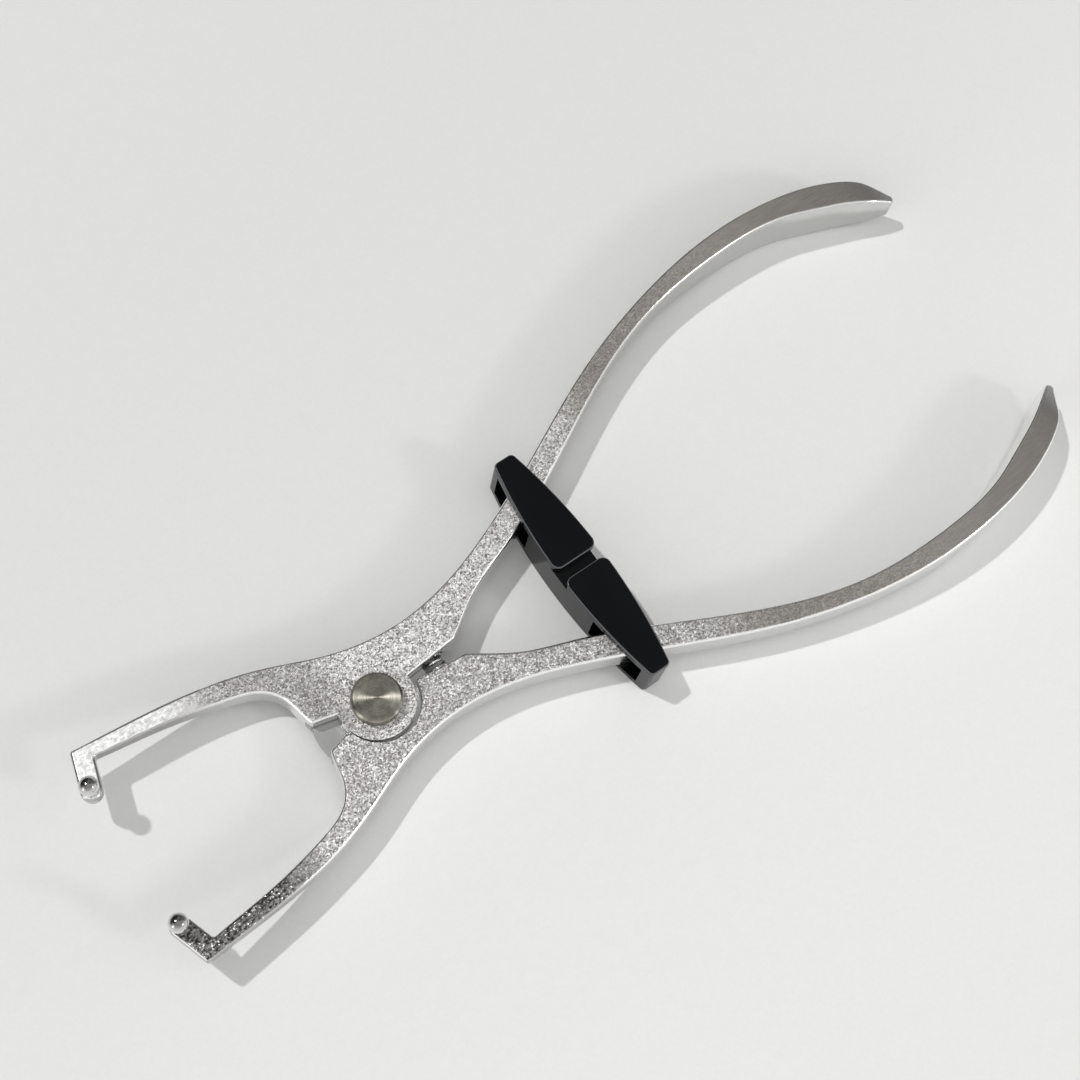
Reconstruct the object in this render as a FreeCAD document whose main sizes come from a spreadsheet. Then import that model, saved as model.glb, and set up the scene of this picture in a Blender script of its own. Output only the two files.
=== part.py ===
import FreeCAD, Part

import math
import os

from FreeCAD import Placement, Rotation, Vector
from Sketcher import Constraint

# Expanding separator pliers lying flat: two levers on one pivot, a spring between their shoulders and
# a lock slider on both handles. Squeezing the handles spreads the ball-ended jaw pins.
# Origin on the pivot axis at the table, +X towards the handles, +Z up, millimetres.

# Driving dimensions: alias, value, meaning
DIMENSIONS = [
    # Thickness
    ("lever_thick", 5.5, "thickness of a lever from its body to the start of the handle"),
    # Jaw
    ("jaw_reach", 41.4, "pivot axis to the outer corner of the jaw"),
    ("jaw_spread", 18.5, "centre line to the outer corner of the jaw"),
    ("arm_width", 2.6, "width of the jaw arm beside its corner"),
    ("arm_root_width", 3.4, "width of the jaw arm where it leaves the body"),
    ("arm_root_share", 0.444, "root of the jaw arm, as a share of the jaw's reach"),
    ("arm_root_spread", 16.0, "centre line to the outer edge at the root"),
    ("tip_lead", 0.4, "the ball-ended pin beyond the corner, along the pliers"),
    ("tip_drop", 6.65, "the ball-ended pin inside the corner, across the pliers"),
    ("tip_round", 1.6, "radius of the round end below the pin"),
    ("tip_rise", 1.75, "rise of the top face from body to jaw corner"),
    ("tip_thick", 2.5, "thickness of the jaw at its corner"),
    ("sweep_share", 0.483, "where the top face starts to rise, as a share of the jaw's reach"),
    ("pin_neck", 0.8, "radius of the pin's neck"),
    ("ball_radius", 1.5, "radius of the ball on the pin"),
    ("ball_rise", 3.0, "top face of the jaw end to the ball's centre"),
    # Body
    ("body_spread", 8.4, "centre line to the outer edge at the waist"),
    ("waist_reach", 8.0, "pivot axis to the waist, the narrowest place"),
    ("stop_reach", 10.2, "pivot axis to the end of the jaw-side stop face"),
    ("close_stop", 14.0, "angle of the jaw-side stop face from the centre line"),
    ("open_stop", 5.3, "angle of the handle-side stop face from the centre line"),
    ("shoulder_reach", 15.5, "pivot axis to the end of the handle-side stop face"),
    ("boss_radius", 6.1, "boss of the upper lever around the pivot"),
    ("boss_gap", 0.46, "mean gap between the boss and the round recess of the lower lever"),
    ("boss_gap_shift", 0.4, "shift of that recess towards the handles, where the gap is widest"),
    ("lap_radius", 8.0, "lap disc of the lower lever"),
    ("jaw_lap_radius", 10.2, "lap disc where it shows in the jaw-side gap"),
    ("handle_lap_radius", 9.2, "lap disc where it shows in the handle-side gap"),
    ("lap_clearance", 0.12, "clearance around boss and lap disc"),
    ("lap_gap", 0.04, "clearance between the lapping faces"),
    # Handle
    ("shank_reach", 43.0, "pivot axis to the shank behind the slider"),
    ("shank_spread", 16.85, "centre line to the middle of the shank there"),
    ("shank_width", 4.5, "width of the shank"),
    ("bow_share", 0.586, "widest place of the handle, as a share of the way from shank to end"),
    ("bow_spread", 31.7, "centre line to the middle of the handle there"),
    ("grip_width", 3.65, "width of the handle at its widest place"),
    ("paddle_width", 5.1, "width of the paddle near the handle's end"),
    ("handle_reach", 124.9, "pivot axis to the end of the handle"),
    ("handle_end_spread", 21.6, "centre line to the end of the handle"),
    ("handle_lean", 2.55, "sideways set of both handles at their ends, to the upper lever's side"),
    ("handle_end_round", 0.9, "radius of the handle's end"),
    ("grip_depth", 8.9, "depth of the handle's broad band"),
    ("rim_round", 0.45, "rounding along the levers' edges"),
    ("corner_round", 0.5, "rounding of the levers' upright corners"),
    # Pivot
    ("pivot_radius", 2.5, "barrel of the pivot"),
    ("pivot_clearance", 0.03, "running clearance around the barrel"),
    ("head_radius", 3.95, "round head of the barrel"),
    ("head_height", 2.0, "height of the head over the lever"),
    ("head_bevel", 0.35, "bevel round both heads"),
    ("head_gap", 0.04, "clearance between heads and levers"),
    ("screw_head_radius", 3.9, "head of the screw below"),
    ("screw_radius", 1.5, "stem of the screw"),
    ("screw_depth", 4.0, "length of the stem in the barrel"),
    ("screw_clearance", 0.02, "clearance of the stem in the barrel"),
    ("spanner_hole", 0.5, "radius of the two spanner holes below"),
    ("spanner_reach", 2.4, "pivot axis to each spanner hole"),
    ("spanner_depth", 0.9, "depth of the spanner holes"),
    # Spring
    ("spring_lead", 0.3, "gap between the lap disc and the spring"),
    ("spring_radius", 1.45, "middle of the wire to the spring's axis"),
    ("wire_radius", 0.25, "radius of the spring wire"),
    ("spring_turns", 6.0, "working turns of the spring"),
    ("pocket_radius", 1.95, "blind pocket that holds the spring's end"),
    ("pocket_depth", 3.6, "depth of the pocket from the centre line"),
    # Slider
    ("slider_lead", 4.55, "middle of the slider ahead of the shank's station"),
    ("slider_depth", 8.2, "depth of the slider at its middle"),
    ("slider_end_depth", 3.6, "depth of the slider at its ends"),
    ("slider_height", 9.0, "height of the slider, twice the height of the lap over the table"),
    ("plate_play", 0.3, "play of the levers between its plates"),
    ("slider_wall", 1.9, "thickness of its end walls"),
    ("wall_play", 1.3, "play between a handle's outer edge and the end wall"),
    ("web_play", 2.1, "play between a handle's inner edge and the web"),
    ("web_setback", 1.2, "setback of the web from the rear edge"),
    ("split_width", 1.9, "slot that splits the top plate"),
    ("slider_round", 0.9, "rounding of the slider's upright corners"),
    ("slot_round", 1.4, "rounding of the top plate's corners beside its slot"),
    ("slider_edge", 0.3, "rounding along the slider's edges"),
]

DOC = FreeCAD.newDocument("separator_pliers")
SHEET = DOC.addObject("Spreadsheet::Sheet", "sizes")
for row, (alias, value, meaning) in enumerate(DIMENSIONS, start=1):
    SHEET.set("A%d" % row, alias)
    SHEET.set("B%d" % row, str(value))
    SHEET.set("C%d" % row, meaning)
    SHEET.setAlias("B%d" % row, alias)
DOC.recompute()


def size(alias):
    """Return the plain number held by a cell of the sheet."""
    return float(SHEET.get(alias))


# Levels worked out from the driving dimensions

MID = size("slider_height") / 2
TOP = MID + size("lever_thick") / 2
BOTTOM = MID - size("lever_thick") / 2
JAW_TOP = TOP + size("tip_rise")
JAW_BOTTOM = JAW_TOP - size("tip_thick")
CLEAR_LEVEL = 3 * size("slider_height")
CLEAR_FRONT = 1.5 * size("jaw_reach")

ROOT_REACH = size("jaw_reach") * size("arm_root_share")
SWEEP_START = size("jaw_reach") * size("sweep_share")
SPRING_REACH = size("handle_lap_radius") + size("spring_radius") + size("wire_radius") + size("spring_lead")
BOW_REACH = size("shank_reach") + size("bow_share") * (size("handle_reach") - size("shank_reach"))

# The same levels and places as expressions on the sheet
MID_LEVEL = "sizes.slider_height / 2"
TIP_REACH = "sizes.jaw_reach + sizes.tip_lead"
TIP_SPREAD = "sizes.jaw_spread - sizes.tip_drop"
SPRING_PLACE = "sizes.handle_lap_radius + sizes.spring_radius + sizes.wire_radius + sizes.spring_lead"


# Helpers for outlines

def polar(radius, degrees):
    """Return the plan point at a radius and an angle from the pivot axis."""
    angle = math.radians(degrees)
    return Vector(radius * math.cos(angle), radius * math.sin(angle), 0)


def between(start, end, along, across):
    """Return the point at a share of the way along X and across Y from one point to another."""
    return (start[0] + along * (end[0] - start[0]), start[1] + across * (end[1] - start[1]))


def line(start, end):
    """Return a straight edge."""
    return Part.LineSegment(Vector(*start), Vector(*end))


def arc(start, through, end):
    """Return a circular edge through three points."""
    return Part.Arc(Vector(*start), Vector(*through), Vector(*end))


def curve(points, leaves=None, arrives=None):
    """Return a smooth curve through the points, with its end directions where they are given."""
    spline = Part.BSplineCurve()
    if leaves is None and arrives is None:
        spline.interpolate(points)
        return spline
    leaves = leaves or (points[1] - points[0])
    arrives = arrives or (points[-1] - points[-2])
    spline.interpolate(points, InitialTangent=leaves.normalize(), FinalTangent=arrives.normalize())
    return spline


def new_body(name):
    """Add a body whose label names the piece."""
    body = DOC.addObject("PartDesign::Body", name)
    body.Label = name
    return body


def new_sketch(body, name, plane, geometry, level=None):
    """Add a sketch on one of the body's own planes, raised by the expression in level."""
    sketch = body.newObject("Sketcher::SketchObject", name)
    sketch.AttachmentSupport = [(origin_plane(body, plane), "")]
    sketch.MapMode = "FlatFace"
    for piece in geometry:
        sketch.addGeometry(piece, False)
    if level:
        sketch.setExpression("AttachmentOffset.Base.z", level)
    return sketch


def origin_plane(body, role):
    """Return a plane of the body's own origin."""
    return next(o for o in body.Origin.OriginFeatures if o.Role == role)


def closed_loop(points):
    """Return straight edges round a list of points."""
    return [line(a, b) for a, b in zip(points, points[1:] + points[:1])]


def add_circle(sketch, centre, radius_expression, radius, reach_expression=None):
    """Add a circle with its radius, and its place along the sketch's X axis, bound to the sheet."""
    index = sketch.addGeometry(Part.Circle(Vector(*centre), Vector(0, 0, 1), radius), False)
    hold = sketch.addConstraint(Constraint("Radius", index, radius))
    sketch.setExpression("Constraints[%d]" % hold, radius_expression)
    if reach_expression is None:
        sketch.addConstraint(Constraint("Coincident", index, 3, -1, 1))
    else:
        reach = sketch.addConstraint(Constraint("DistanceX", -1, 1, index, 3, centre[0]))
        sketch.setExpression("Constraints[%d]" % reach, reach_expression)
    return index


def pad(body, sketch, name, length, reverse=False, both=False):
    """Add material over a sketch, its length an expression."""
    feature = body.newObject("PartDesign::Pad", name)
    feature.Profile = sketch
    feature.Reversed = reverse
    feature.Midplane = both
    feature.setExpression("Length", length)
    return feature


def pocket(body, sketch, name, length, reverse=False, both=False):
    """Cut a sketch away, its length an expression, and make sure that it cuts."""
    DOC.recompute()
    before = body.Shape.Volume
    feature = body.newObject("PartDesign::Pocket", name)
    feature.Profile = sketch
    feature.Reversed = reverse
    feature.Midplane = both
    feature.setExpression("Length", length)
    DOC.recompute()
    if body.Shape.Volume > before - 1e-3:
        raise RuntimeError("%s cuts nothing" % name)
    return feature


def rounded(body, name, edges, radius_alias):
    """Round edges of the body's last feature, given by a test on each edge."""
    DOC.recompute()
    base = body.Tip
    names = ["Edge%d" % i for i, e in enumerate(base.Shape.Edges, start=1) if edges(e)]
    feature = body.newObject("PartDesign::Fillet", name)
    feature.Base = (base, names)
    feature.setExpression("Radius", "sizes.%s" % radius_alias)
    DOC.recompute()
    return feature


def is_upright(edge):
    """Tell whether an edge is a straight vertical one."""
    return isinstance(edge.Curve, Part.Line) and abs(abs(edge.tangentAt(edge.FirstParameter).z) - 1) < 1e-6


def near(edge, point, reach=0.3):
    """Tell whether an upright edge stands at a plan point."""
    place = edge.Vertexes[0].Point
    return math.hypot(place.x - point[0], place.y - point[1]) < reach


# Plan of a lever

def lever_corners(side):
    """Return the sharp plan corners of a lever, by name."""
    jaw = (-size("jaw_reach"), size("jaw_spread"))
    corner_in = (jaw[0] + size("arm_width"), jaw[1] - size("arm_width"))
    stop = polar(size("stop_reach"), 180 - size("close_stop"))
    shoulder = polar(size("shoulder_reach"), size("open_stop"))
    corners = {
        "jaw_outer": jaw,
        "jaw_inner": corner_in,
        "stop": (stop.x, stop.y),
        "shoulder": (shoulder.x, shoulder.y),
    }
    return {key: (x, side * y) for key, (x, y) in corners.items()}


def handle_stations(sense):
    """Return the handle's stations along its outer (+1) or inner (-1) edge: shank, bow and end."""
    shank = (size("shank_reach"), size("shank_spread") + sense * size("shank_width") / 2)
    bow = (BOW_REACH, size("bow_spread") + sense * size("grip_width") / 2)
    end = (size("handle_reach"), size("handle_end_spread"))
    return shank, bow, end


def leaned(point, side):
    """Return a plan point of a lever, a handle's point set sideways by its share of the lean."""
    start = size("shank_reach") - size("slider_lead")
    share = max(0.0, (point[0] - start) / (size("handle_reach") - start))
    return (point[0], side * point[1] + share * size("handle_lean"))


def outer_edge():
    """Return the points of a lever's outer edge, from the jaw corner to the end of the handle."""
    jaw = (-size("jaw_reach"), size("jaw_spread"))
    root = (-ROOT_REACH, size("arm_root_spread"))
    waist = (size("waist_reach"), size("body_spread"))
    shank, bow, end = handle_stations(1)
    return [
        jaw,
        between(jaw, root, 0.65, 0.48),
        root,
        between(root, waist, 0.31, 0.33),
        between(root, waist, 0.58, 0.71),
        waist,
        between(waist, shank, 0.34, 0.13),
        between(waist, shank, 0.63, 0.46),
        shank,
        between(shank, bow, 0.29, 0.445),
        between(shank, bow, 0.63, 0.82),
        bow,
        between(bow, end, 0.40, 0.07),
        between(bow, end, 0.74, 0.34),
        between(bow, end, 0.90, 0.61),
    ]


def inner_edge():
    """Return the points of a lever's inner edge, from the end of the handle to the shoulder."""
    shoulder = lever_corners(1)["shoulder"]
    shank, bow, end = handle_stations(-1)
    paddle = between(handle_stations(1)[1], end, 0.74, 0.34)
    return [
        between(bow, end, 0.87, 0.92),
        (paddle[0], paddle[1] - size("paddle_width")),
        between(bow, end, 0.59, 0.43),
        between(bow, end, 0.40, 0.16),
        bow,
        between(bow, shank, 0.31, 0.09),
        between(bow, shank, 0.65, 0.45),
        shank,
        between(shank, shoulder, 0.43, 0.40),
        between(shank, shoulder, 0.76, 0.68),
    ]


def jaw_edge():
    """Return the points of the jaw's inner edge, between the stop face and the jaw's inner corner."""
    corners = lever_corners(1)
    root = (-ROOT_REACH, size("arm_root_spread") - size("arm_root_width"))
    return [
        between(corners["stop"], root, 0.08, 0.26),
        between(corners["stop"], root, 0.14, 0.49),
        between(corners["stop"], root, 0.36, 0.77),
        root,
        between(root, corners["jaw_inner"], 0.475, 0.61),
    ]


def tangent_point(start, centre, radius, turn):
    """Return where a line from start touches a circle, on the side given by turn (+1 or -1)."""
    away = Vector(start[0] - centre[0], start[1] - centre[1], 0)
    angle = math.atan2(away.y, away.x) + turn * math.acos(radius / away.Length)
    return (centre[0] + radius * math.cos(angle), centre[1] + radius * math.sin(angle))


def lever_plan(side):
    """Return the closed plan of a lever: jaw, body up to the pivot axis, and handle."""
    corner = lever_corners(side)
    tip = (-size("jaw_reach") - size("tip_lead"), side * (size("jaw_spread") - size("tip_drop")))
    radius = size("tip_round")
    outer_touch = tangent_point(corner["jaw_outer"], tip, radius, side)
    inner_touch = tangent_point(corner["jaw_inner"], tip, radius, -side)
    tip_end = (tip[0] + 0.2 * radius, tip[1] - side * radius * math.sqrt(1 - 0.2 ** 2))

    end_radius = size("handle_end_round")
    end = Vector(size("handle_reach") - end_radius, size("handle_end_spread"), 0)
    outer_turn, inner_turn = 40.0, -115.0
    outer_end, far_end, inner_end = [
        (end.x + p.x, side * (end.y + p.y) + size("handle_lean"))
        for p in (polar(end_radius, a) for a in (outer_turn, (outer_turn + inner_turn) / 2, inner_turn))
    ]
    arrives = polar(1.0, outer_turn - 90)
    leaves = polar(1.0, inner_turn - 90)
    arrives.y *= side
    leaves.y *= side
    outer = [leaned(p, side) for p in outer_edge()] + [outer_end]
    inner = [inner_end] + [leaned(p, side) for p in inner_edge()] + [corner["shoulder"]]
    jaw = [corner["stop"]] + [(x, side * y) for x, y in jaw_edge()] + [corner["jaw_inner"]]

    def flat(point):
        return Vector(point[0], point[1], 0)

    return [
        curve([flat(p) for p in outer], arrives=arrives),
        arc(flat(outer_end), flat(far_end), flat(inner_end)),
        curve([flat(p) for p in inner], leaves=leaves),
        line(flat(corner["shoulder"]), Vector(0, 0, 0)),
        line(Vector(0, 0, 0), flat(corner["stop"])),
        curve([flat(p) for p in jaw]),
        line(flat(corner["jaw_inner"]), flat(inner_touch)),
        arc(flat(inner_touch), flat(tip_end), flat(outer_touch)),
        line(flat(outer_touch), flat(corner["jaw_outer"])),
    ]


# Side view of a lever, the same for both: x towards the handle, height over the table

def band_profile(sense):
    """Return the handle's broad band above (+1) or below (-1) the lap level, as points."""
    slim, broad = size("lever_thick") / 2, size("grip_depth") / 2
    shank, end = size("shank_reach"), size("handle_reach")
    start, deepest = (shank + 0.23 * (end - shank), slim), (shank + 0.79 * (end - shank), broad)
    steps = [
        start,
        between(start, deepest, 0.28, 0.10),
        between(start, deepest, 0.57, 0.55),
        between(start, deepest, 0.80, 0.92),
        deepest,
        (shank + 0.89 * (end - shank), broad - 0.10 * slim),
        (shank + 0.96 * (end - shank), broad - 0.45 * slim),
        (shank + 1.01 * (end - shank), broad - 1.10 * slim),
    ]
    return [Vector(x, MID + sense * depth, 0) for x, depth in steps]


def top_cut():
    """Return the closed region above a lever: the risen jaw, the level body, the broad band."""
    start = Vector(-SWEEP_START, TOP, 0)
    slope = size("tip_rise") / (size("jaw_reach") - SWEEP_START)
    front = Vector(-CLEAR_FRONT, TOP + slope * (CLEAR_FRONT - SWEEP_START), 0)
    band = band_profile(1)
    far, near_top = Vector(band[-1].x, CLEAR_LEVEL, 0), Vector(-CLEAR_FRONT, CLEAR_LEVEL, 0)
    return [line(front, start), line(start, band[0]), curve(band, leaves=Vector(1, 0, 0)), line(band[-1], far),
            line(far, near_top), line(near_top, front)]


def bottom_cut():
    """Return the closed region below a lever: the jaw thins towards its end."""
    reach = size("jaw_reach")
    rise = JAW_BOTTOM - BOTTOM
    jaw = [
        Vector(-CLEAR_FRONT, JAW_BOTTOM + 0.34 * rise, 0),
        Vector(-reach, JAW_BOTTOM, 0),
        Vector(-0.72 * reach, BOTTOM + 0.66 * rise, 0),
        Vector(-0.53 * reach, BOTTOM + 0.38 * rise, 0),
        Vector(-0.34 * reach, BOTTOM + 0.15 * rise, 0),
        Vector(-0.19 * reach, BOTTOM + 0.03 * rise, 0),
        Vector(-0.10 * reach, BOTTOM, 0),
    ]
    band = band_profile(-1)
    far, near_low = Vector(band[-1].x, -CLEAR_LEVEL, 0), Vector(-CLEAR_FRONT, -CLEAR_LEVEL, 0)
    level = Vector(1, 0, 0)
    return [curve(jaw, arrives=level), line(jaw[-1], band[0]), curve(band, leaves=level), line(band[-1], far),
            line(far, near_low), line(near_low, jaw[0])]


def lever_blank(name, side):
    """Build a lever without its pivot parts: plan, side view, rounded corners and rims."""
    body = new_body(name)
    plan = new_sketch(body, name + "_plan", "XY_Plane", lever_plan(side))
    pad(body, plan, name + "_blank", "2 * (sizes.slider_height + sizes.lever_thick)", both=True)
    corner = lever_corners(side)
    rounded(body, name + "_corners",
            lambda e: is_upright(e) and any(near(e, p) for p in corner.values()), "corner_round")
    above = new_sketch(body, name + "_above", "XZ_Plane", top_cut())
    pocket(body, above, name + "_top", "sizes.handle_reach * 2", both=True)
    below = new_sketch(body, name + "_below", "XZ_Plane", bottom_cut())
    pocket(body, below, name + "_bottom", "sizes.handle_reach * 2", both=True)
    rounded(body, name + "_rims", is_rim, "rim_round")
    return body


def is_rim(edge):
    """Tell whether an edge runs along a lever's top or bottom rim, not across it or upright."""
    box = edge.BoundBox
    upright = abs(edge.tangentAt((edge.FirstParameter + edge.LastParameter) / 2).z) > 0.9
    across = box.XLength < 0.2 and box.YLength > 1.0
    return not upright and not across


def pie(radius, first, last, side):
    """Return a closed wedge from the pivot axis between two angles, mirrored for the lower lever."""
    points = [polar(radius, a) for a in (first, (first + last) / 2, last)]
    start, through, end = [Vector(p.x, side * p.y, 0) for p in points]
    hub = Vector(0, 0, 0)
    return [line(hub, start), arc(start, through, end), line(end, hub)]


def jaw_pin(body, name, side):
    """Add the pin that stands on the jaw's end: a neck and a ball."""
    neck, ball = size("pin_neck"), size("ball_radius")
    centre = JAW_TOP + size("ball_rise")
    meets = math.sqrt(ball ** 2 - neck ** 2)
    root = JAW_TOP - size("tip_thick") / 2
    profile = [
        line((0, root, 0), (neck, root, 0)),
        line((neck, root, 0), (neck, centre - meets, 0)),
        arc((neck, centre - meets, 0), (ball, centre, 0), (0, centre + ball, 0)),
        line((0, centre + ball, 0), (0, root, 0)),
    ]
    sketch = new_sketch(body, name + "_pin_profile", "XZ_Plane", profile)
    sketch.setExpression("AttachmentOffset.Base.x", "-(%s)" % TIP_REACH)
    sketch.setExpression("AttachmentOffset.Base.z", "%d * (%s)" % (-side, TIP_SPREAD))
    turned = body.newObject("PartDesign::Revolution", name + "_pin")
    turned.Profile = sketch
    turned.ReferenceAxis = (sketch, ["V_Axis"])
    turned.Angle = 360.0


def pivot_bore(body, name):
    """Bore a lever for the barrel of the pivot."""
    sketch = new_sketch(body, name + "_bore_circle", "XY_Plane", [])
    add_circle(sketch, (0, 0, 0), "sizes.pivot_radius + sizes.pivot_clearance", size("pivot_radius"))
    pocket(body, sketch, name + "_bore", "sizes.slider_height * 3", both=True)


def spring_pocket(body, name, side):
    """Sink the blind pocket for one end of the spring."""
    sketch = new_sketch(body, name + "_spring_circle", "XZ_Plane", [])
    centre = (SPRING_REACH, MID, 0)
    index = add_circle(sketch, centre, "sizes.pocket_radius", size("pocket_radius"), SPRING_PLACE)
    level = sketch.addConstraint(Constraint("DistanceY", -1, 1, index, 3, MID))
    sketch.setExpression("Constraints[%d]" % level, MID_LEVEL)
    pocket(body, sketch, name + "_spring_pocket", "sizes.pocket_depth", reverse=side < 0)


JAW_LAP = (158.0, 180.0 + size("close_stop"))
HANDLE_LAP = (-size("open_stop"), 12.0)
CLOSING_TURN, OPENING_TURN = 26.0, 13.0


def upper_lever():
    """Build the upper lever: blank, boss, room for the lap disc, bore, spring pocket and pin."""
    name = "upper_lever"
    body = lever_blank(name, 1)
    floor = MID_LEVEL + " + sizes.lap_gap / 2"
    depth = "sizes.slider_height"
    boss = new_sketch(body, name + "_boss_circle", "XY_Plane", [], floor)
    add_circle(boss, (0, 0, 0), "sizes.boss_radius", size("boss_radius"))
    pad(body, boss, name + "_boss", "sizes.lever_thick / 2 - sizes.lap_gap / 2")

    lap = new_sketch(body, name + "_lap_circle", "XY_Plane", [], floor)
    add_circle(lap, (0, 0, 0), "sizes.lap_radius + sizes.lap_clearance", size("lap_radius"))
    pocket(body, lap, name + "_lap", depth)
    clearance = size("lap_clearance")
    jaw_side = pie(size("jaw_lap_radius") + clearance, JAW_LAP[0] - CLOSING_TURN, 200.0, 1)
    pocket(body, new_sketch(body, name + "_jaw_wedge", "XY_Plane", jaw_side, floor), name + "_jaw_lap", depth)
    handle_side = pie(size("handle_lap_radius") + clearance, -20.0, HANDLE_LAP[1] + OPENING_TURN, 1)
    pocket(body, new_sketch(body, name + "_handle_wedge", "XY_Plane", handle_side, floor),
           name + "_handle_lap", depth)
    pivot_bore(body, name)
    spring_pocket(body, name, 1)
    jaw_pin(body, name, 1)
    return body


def lower_lever():
    """Build the lower lever: blank, room for the boss, lap disc, bore, spring pocket and pin."""
    name = "lower_lever"
    body = lever_blank(name, -1)
    room = new_sketch(body, name + "_boss_room_circle", "XY_Plane", [], MID_LEVEL + " - sizes.lap_gap / 2")
    shift = size("boss_gap_shift")
    add_circle(room, (shift, -shift / 2, 0), "sizes.boss_radius + sizes.boss_gap",
               size("boss_radius") + size("boss_gap"), "sizes.boss_gap_shift")
    pocket(body, room, name + "_boss_room", "sizes.slider_height", reverse=True)

    foot = MID_LEVEL + " - sizes.lever_thick / 2"
    depth = "sizes.lever_thick / 2 - sizes.lap_gap / 2"
    disc = new_sketch(body, name + "_lap_circle", "XY_Plane", [], foot)
    add_circle(disc, (0, 0, 0), "sizes.lap_radius", size("lap_radius"))
    pad(body, disc, name + "_lap", depth)
    jaw_side = pie(size("jaw_lap_radius"), JAW_LAP[0], JAW_LAP[1] + 6.0, 1)
    pad(body, new_sketch(body, name + "_jaw_wedge", "XY_Plane", jaw_side, foot), name + "_jaw_lap", depth)
    handle_side = pie(size("handle_lap_radius"), HANDLE_LAP[0] - 6.0, HANDLE_LAP[1], 1)
    pad(body, new_sketch(body, name + "_handle_wedge", "XY_Plane", handle_side, foot),
        name + "_handle_lap", depth)
    pivot_bore(body, name)
    spring_pocket(body, name, -1)
    jaw_pin(body, name, -1)
    return body


# Pivot

HEAD_FOOT = TOP + size("head_gap")
SCREW_TOP = BOTTOM - size("head_gap")


def turned_body(name, outline):
    """Build a turned piece from half its outline: radius and height of each corner."""
    body = new_body(name)
    corners = [Vector(r, z, 0) for r, z in outline]
    sketch = new_sketch(body, name + "_outline", "XZ_Plane", closed_loop(corners))
    turned = body.newObject("PartDesign::Revolution", name + "_turned")
    turned.Profile = sketch
    turned.ReferenceAxis = (sketch, ["V_Axis"])
    turned.Angle = 360.0
    return body


def pivot_barrel():
    """Build the barrel: round head on top, hollow shank for the screw."""
    shank, head, bevel = size("pivot_radius"), size("head_radius"), size("head_bevel")
    bore = size("screw_radius") + size("screw_clearance")
    bore_end = SCREW_TOP + size("screw_depth") + 0.3
    head_top = HEAD_FOOT + size("head_height")
    return turned_body("pivot_barrel", [
        (bore, SCREW_TOP), (shank, SCREW_TOP), (shank, HEAD_FOOT), (head, HEAD_FOOT),
        (head, head_top - bevel), (head - bevel, head_top), (0, head_top),
        (0, bore_end + 0.6), (bore, bore_end),
    ])


def pivot_screw():
    """Build the screw that closes the barrel from below, with two spanner holes."""
    stem, head, bevel = size("screw_radius"), size("screw_head_radius"), size("head_bevel")
    body = turned_body("pivot_screw", [
        (0, 0), (head - bevel, 0), (head, bevel), (head, SCREW_TOP), (stem, SCREW_TOP),
        (stem, SCREW_TOP + size("screw_depth") - bevel), (stem - bevel, SCREW_TOP + size("screw_depth")),
        (0, SCREW_TOP + size("screw_depth")),
    ])
    reach = size("spanner_reach")
    holes = new_sketch(body, "spanner_holes_circles", "XY_Plane", [])
    add_circle(holes, (reach, 0, 0), "sizes.spanner_hole", size("spanner_hole"), "sizes.spanner_reach")
    add_circle(holes, (-reach, 0, 0), "sizes.spanner_hole", size("spanner_hole"), "-sizes.spanner_reach")
    pocket(body, holes, "spanner_holes", "sizes.spanner_depth", reverse=True)
    return body


# Spring

def spring():
    """Build the compression spring across the gap behind the pivot, its ends on the pockets' floors."""
    half = size("pocket_depth") - size("wire_radius") - 0.02
    helix = DOC.addObject("Part::Helix", "spring_path")
    helix.setExpression("Radius", "sizes.spring_radius")
    helix.setExpression("Height", "2 * (sizes.pocket_depth - sizes.wire_radius - 0.02)")
    helix.setExpression("Pitch", "2 * (sizes.pocket_depth - sizes.wire_radius - 0.02) / sizes.spring_turns")
    wire = DOC.addObject("Part::Circle", "spring_wire")
    wire.setExpression("Radius", "sizes.wire_radius")
    wire.Placement = Placement(Vector(size("spring_radius"), 0, 0), Rotation(Vector(1, 0, 0), 90))
    DOC.recompute()
    sweep = DOC.addObject("Part::Sweep", "spring")
    sweep.Sections = [wire]
    sweep.Spine = (helix, ["Edge1"])
    sweep.Solid = True
    sweep.Frenet = True
    sweep.Label = "spring"
    sweep.Placement = Placement(Vector(SPRING_REACH, half, MID),
                                Rotation(Vector(1, 0, 0), 90))
    return sweep


# Slider

SLIDER_REACH = size("shank_reach") - size("slider_lead")


def spread_at(points, reach):
    """Return how far one of a lever's edges stands from the centre line at a reach."""
    edge = curve([Vector(x, y, 0) for x, y in points]).toShape()
    across = line((reach, 0, 0), (reach, 2 * size("bow_spread"), 0)).toShape()
    return edge.distToShape(across)[1][0][0].y


def web_spread():
    """Return the half width of the slider's web, which keeps clear of the handles' inner edges."""
    return spread_at(inner_edge(), SLIDER_REACH - size("slider_depth") / 2) - size("web_play")


def wall_spread():
    """Return where the slider's end walls start, clear of the handles' outer edges."""
    return spread_at(outer_edge(), SLIDER_REACH + size("slider_end_depth") / 2) + size("wall_play")


def slider_plan(reach):
    """Return the slider's plan: front and rear edges bow out, the ends are straight."""
    half, end = size("slider_depth") / 2, size("slider_end_depth") / 2
    middle = SLIDER_REACH
    front = [(middle - end, -reach, 0), (middle - half, 0, 0), (middle - end, reach, 0)]
    rear = [(middle + end, reach, 0), (middle + half, 0, 0), (middle + end, -reach, 0)]
    return [arc(*front), line(front[2], rear[0]), arc(*rear), line(rear[2], front[0])]


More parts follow.
